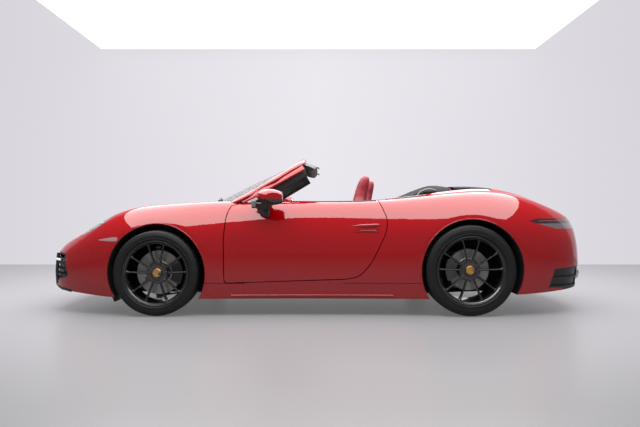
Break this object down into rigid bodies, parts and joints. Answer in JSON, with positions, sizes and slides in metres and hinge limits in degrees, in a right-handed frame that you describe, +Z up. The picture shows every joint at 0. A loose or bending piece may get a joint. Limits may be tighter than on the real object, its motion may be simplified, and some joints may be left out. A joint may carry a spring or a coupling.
{
  "type": "convertible car",
  "caption": "Open two-seat-plus-two car with rear engine, folded soft top, opening doors and lids, steered front wheels and rolling wheels.",
  "frame": {"origin": "on the ground under the middle of the car's length", "axes": "+X to the nose, +Y to the driver's side, +Z up"},
  "size_m": [4.5152, 2.016, 1.289],
  "materials": {
    "underbody": "matt",
    "body_inner": "satin",
    "body_paint": "gloss",
    "black_trim": "satin",
    "lamp_glass": "gloss",
    "tail_lens": "gloss",
    "tailpipe": "brushed",
    "top_fabric": "woven",
    "clear_glass": "gloss",
    "dash": "grained",
    "red_leather": "grained",
    "engine": "cast",
    "suspension": "satin",
    "door_lining": "grained",
    "wheel_leather": "smooth",
    "tyre": "matt",
    "rim": "gloss black",
    "disc": "machined"
  },
  "bodies": {
    "car": {"floor_pan": "underbody", "front_body": "body_inner", "rear_body": "body_inner", "front_bumper": "body_paint", "front_intakes": "black_trim", "front_wings": "body_paint", "headlamps": "lamp_glass", "side_skirts": "body_paint", "rear_quarters": "body_paint", "rear_bumper": "body_paint", "rear_valance": "black_trim", "tailpipes": "tailpipe", "tail_lamp": "tail_lens", "rear_spoiler": "body_paint", "top_lid": "body_paint", "folded_top": "top_fabric", "windscreen_frame": "body_paint", "windscreen": "clear_glass", "wipers_and_cowl": "black_trim", "dashboard": "dash", "centre_console": "dash", "driver_seat": "red_leather", "passenger_seat": "red_leather", "rear_seats": "red_leather", "engine_block": "engine", "front_suspension": "suspension", "rear_suspension": "suspension"},
    "luggage_lid": {"luggage_lid": "body_paint"},
    "engine_lid": {"engine_lid": "body_paint", "lid_grille": "black_trim"},
    "door_left": {"door_left": "body_paint", "door_trim_left": "door_lining", "mirror_left": "body_paint"},
    "door_right": {"door_right": "body_paint", "door_trim_right": "door_lining", "mirror_right": "body_paint"},
    "steering_wheel": {"steering_wheel": "wheel_leather"},
    "knuckle_left": {"knuckle_left": "suspension"},
    "knuckle_right": {"knuckle_right": "suspension"},
    "wheel_front_left": {"tyre_front_left": "tyre", "rim_front_left": "rim", "brake_disc_front_left": "disc"},
    "wheel_front_right": {"tyre_front_right": "tyre", "rim_front_right": "rim", "brake_disc_front_right": "disc"},
    "wheel_rear_left": {"tyre_rear_left": "tyre", "rim_rear_left": "rim", "brake_disc_rear_left": "disc"},
    "wheel_rear_right": {"tyre_rear_right": "tyre", "rim_rear_right": "rim", "brake_disc_rear_right": "disc"}
  },
  "joints": [
    {"name": "steer_left", "type": "hinge", "parent": "car", "child": "knuckle_left", "pos_m": [1.2495, 0.7945, 0.3353], "axis": [0, 0, 1], "range_deg": [-30, 30]},
    {"name": "steer_right", "type": "hinge", "parent": "car", "child": "knuckle_right", "pos_m": [1.2495, -0.7945, 0.3353], "axis": [0, 0, 1], "range_deg": [-30, 30]},
    {"name": "steering_wheel_turn", "type": "hinge", "parent": "car", "child": "steering_wheel", "pos_m": [0.3, 0.358, 0.742], "axis": [-0.9135, 0, 0.4067], "range_deg": [-430, 430]},
    {"name": "wheel_front_left_spin", "type": "hinge", "parent": "knuckle_left", "child": "wheel_front_left", "pos_m": [1.2495, 0.7945, 0.3353], "axis": [0, 1, 0], "continuous": true},
    {"name": "wheel_front_right_spin", "type": "hinge", "parent": "knuckle_right", "child": "wheel_front_right", "pos_m": [1.2495, -0.7945, 0.3353], "axis": [0, 1, 0], "continuous": true},
    {"name": "wheel_rear_left_spin", "type": "hinge", "parent": "car", "child": "wheel_rear_left", "pos_m": [-1.2005, 0.7785, 0.3573], "axis": [0, 1, 0], "continuous": true},
    {"name": "wheel_rear_right_spin", "type": "hinge", "parent": "car", "child": "wheel_rear_right", "pos_m": [-1.2005, -0.7785, 0.3573], "axis": [0, 1, 0], "continuous": true},
    {"name": "door_left_hinge", "type": "hinge", "parent": "car", "child": "door_left", "pos_m": [0.678, 0.8806, 0.45], "axis": [0, 0, 1], "range_deg": [-65, 0]},
    {"name": "door_right_hinge", "type": "hinge", "parent": "car", "child": "door_right", "pos_m": [0.678, -0.8806, 0.45], "axis": [0, 0, 1], "range_deg": [0, 65]},
    {"name": "luggage_lid_hinge", "type": "hinge", "parent": "car", "child": "luggage_lid", "pos_m": [0.868, 0, 0.85397], "axis": [0, -1, 0], "range_deg": [0, 55]},
    {"name": "engine_lid_hinge", "type": "hinge", "parent": "car", "child": "engine_lid", "pos_m": [-1.448, 0, 1.00633], "axis": [0, 1, 0], "range_deg": [0, 50]}
  ],
  "couplings": [
    {"joint": "steer_right", "follows": "steer_left", "ratio": 1},
    {"joint": "steering_wheel_turn", "follows": "steer_left", "ratio": 14}
  ]
}
